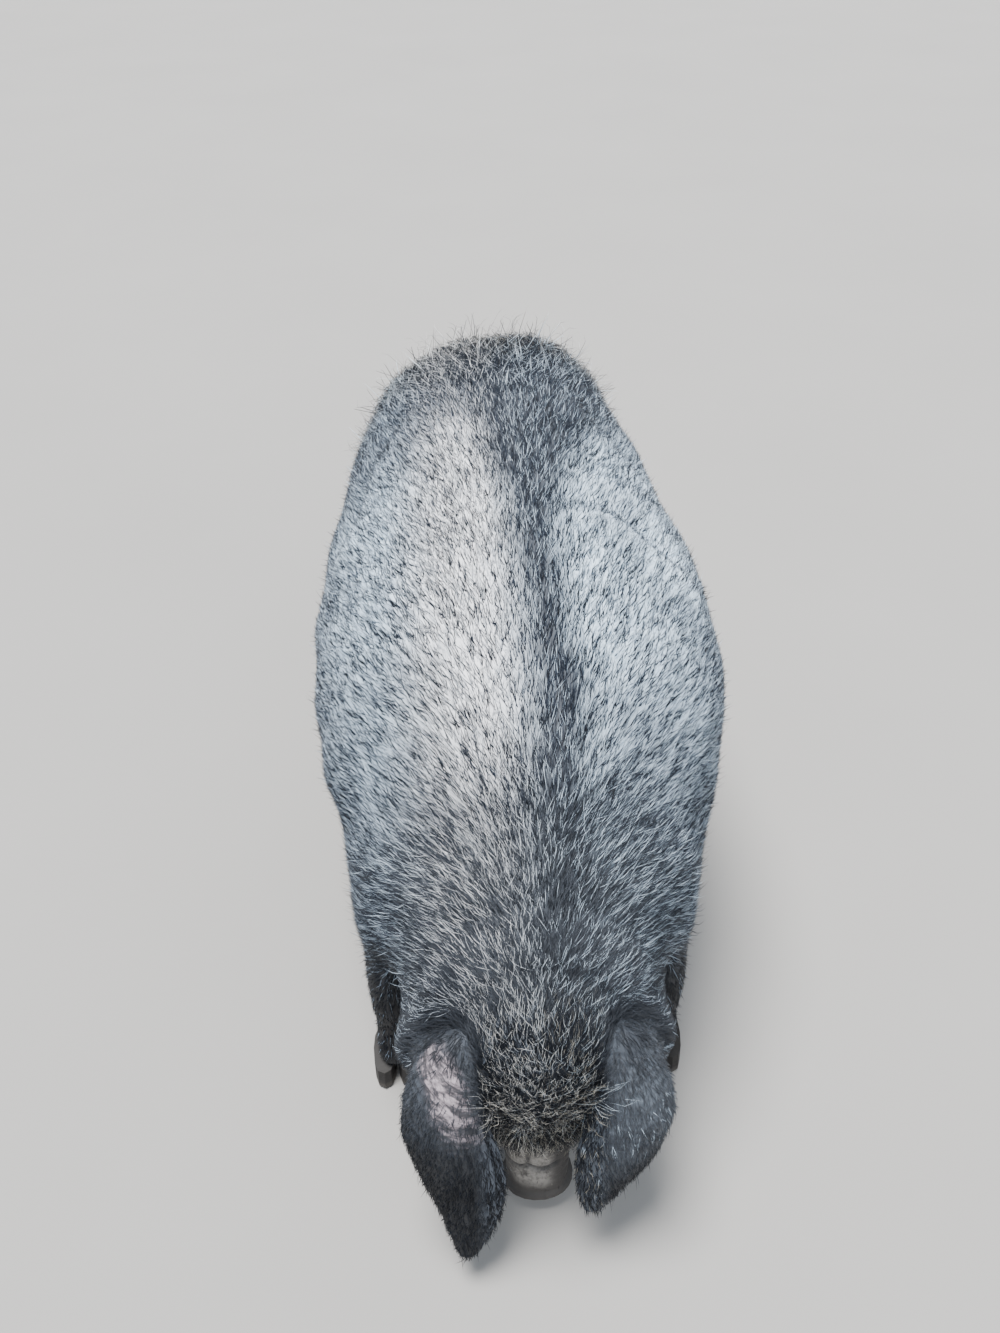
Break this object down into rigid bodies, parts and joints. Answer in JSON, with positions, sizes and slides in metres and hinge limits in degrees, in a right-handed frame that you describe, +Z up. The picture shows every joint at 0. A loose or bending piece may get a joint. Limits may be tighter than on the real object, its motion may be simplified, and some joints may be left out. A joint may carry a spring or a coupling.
{
  "type": "mangalica pig model",
  "caption": "Life-size still model of a dark-coated mangalica pig that stands with its head lowered and its snout at the ground.",
  "frame": {"origin": "on the floor under the middle of the bounding box", "axes": "+Z up, the pig faces -Y, +X is the pig's left"},
  "size_m": [0.5302, 1.2226, 0.6446],
  "materials": {
    "coat": "long bristly wavy hair, blue-grey to black",
    "ear_skin": "wrinkled dark grey skin with short hair",
    "claw": "dull dark horn",
    "eye": "wet and dark"
  },
  "bodies": {
    "root": {"torso": "coat", "neck": "coat", "head": "coat", "tail": "coat", "leg_front_left": "coat", "leg_front_right": "coat", "leg_hind_left": "coat", "leg_hind_right": "coat", "ear_left": "ear_skin", "ear_right": "ear_skin", "eye_left": "eye", "eye_right": "eye", "claw_front_left_inner": "claw", "claw_front_left_outer": "claw", "claw_front_right_inner": "claw", "claw_front_right_outer": "claw", "claw_hind_left_inner": "claw", "claw_hind_left_outer": "claw", "claw_hind_right_inner": "claw", "claw_hind_right_outer": "claw", "dewclaw_front_left_inner": "claw", "dewclaw_front_left_outer": "claw", "dewclaw_front_right_inner": "claw", "dewclaw_front_right_outer": "claw", "dewclaw_hind_left_inner": "claw", "dewclaw_hind_left_outer": "claw", "dewclaw_hind_right_inner": "claw", "dewclaw_hind_right_outer": "claw"}
  },
  "joints": []
}
